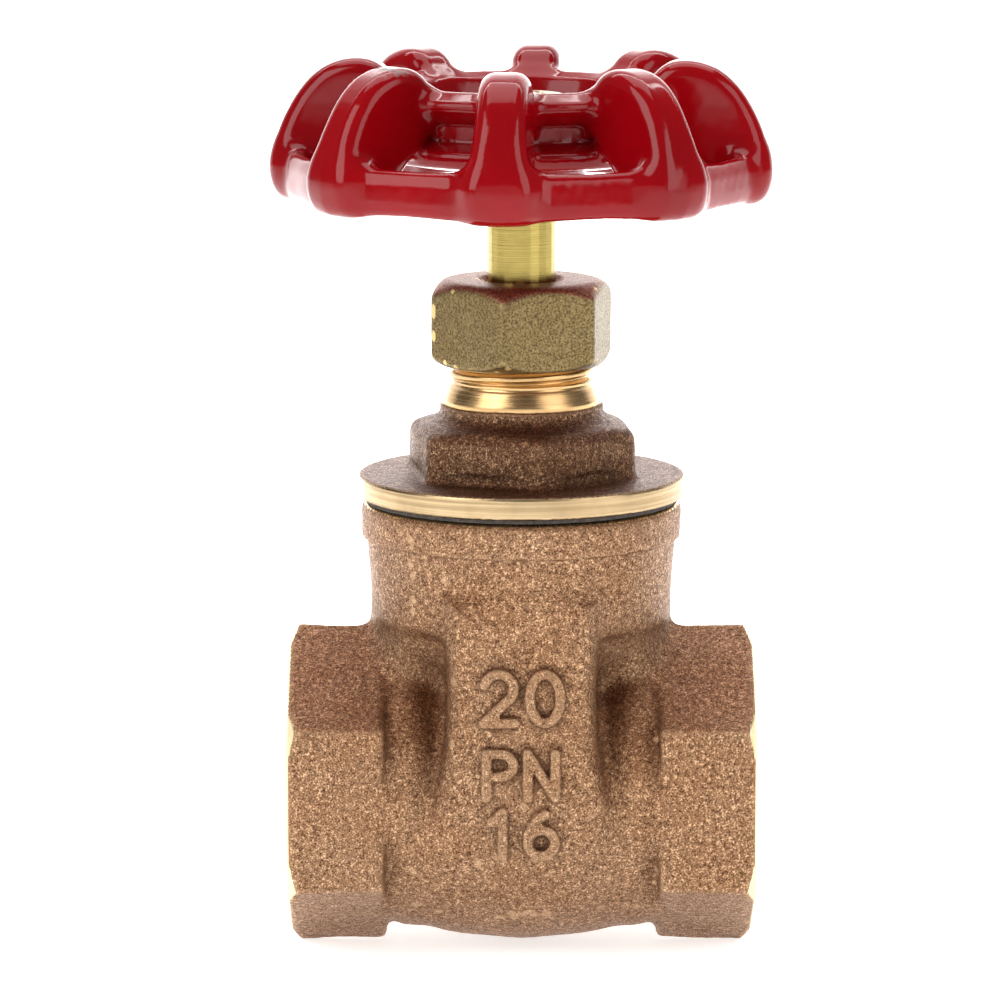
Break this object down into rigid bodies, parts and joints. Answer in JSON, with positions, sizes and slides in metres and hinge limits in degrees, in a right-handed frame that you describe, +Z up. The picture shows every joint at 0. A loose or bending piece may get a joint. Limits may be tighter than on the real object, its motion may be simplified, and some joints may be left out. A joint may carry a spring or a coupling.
{
  "type": "gate valve",
  "caption": "Bronze gate valve with female threaded hexagon ends, a screwed bonnet, a non-rising stem and a red handwheel that lifts the wedge",
  "frame": {"origin": "where the pipe axis meets the stem axis", "axes": "+X along the pipe, +Z up the stem towards the handwheel, -Y towards a viewer of the flat pocket face"},
  "size_m": [0.0568, 0.0568, 0.1015],
  "materials": {
    "cast_bronze": "sand cast, rough",
    "forged_brass": "blasted",
    "machined_brass": "turned",
    "red_enamel": "glossy enamel",
    "packing": "greased braided fibre",
    "gasket_fibre": "matt",
    "zinc_steel": "zinc plated, yellowed"
  },
  "bodies": {
    "valve_shell": {"valve_body": "cast_bronze", "bonnet_gasket": "gasket_fibre", "bonnet": "cast_bronze", "collar_washer": "machined_brass", "stem_retainer_ring": "machined_brass", "packing_washer": "machined_brass", "packing_ring_1": "packing", "packing_ring_2": "packing", "packing_ring_3": "packing", "gland_follower": "machined_brass", "packing_nut": "forged_brass"},
    "wheel_and_stem": {"stem": "machined_brass", "handwheel": "red_enamel", "wheel_washer": "zinc_steel", "wheel_nut": "zinc_steel"},
    "gate": {"wedge_gate": "machined_brass"}
  },
  "joints": [
    {"name": "wheel_spin", "type": "hinge", "parent": "valve_shell", "child": "wheel_and_stem", "pos_m": [0, 0, 0.05], "axis": [0, 0, 1], "range_deg": [0, 2460]},
    {"name": "gate_lift", "type": "slide", "parent": "valve_shell", "child": "gate", "axis": [0, 0, 1], "range_m": [0, 0.0206]}
  ],
  "couplings": [
    {"joint": "gate_lift", "follows": "wheel_spin", "m_per_rad": 0.00047746}
  ]
}
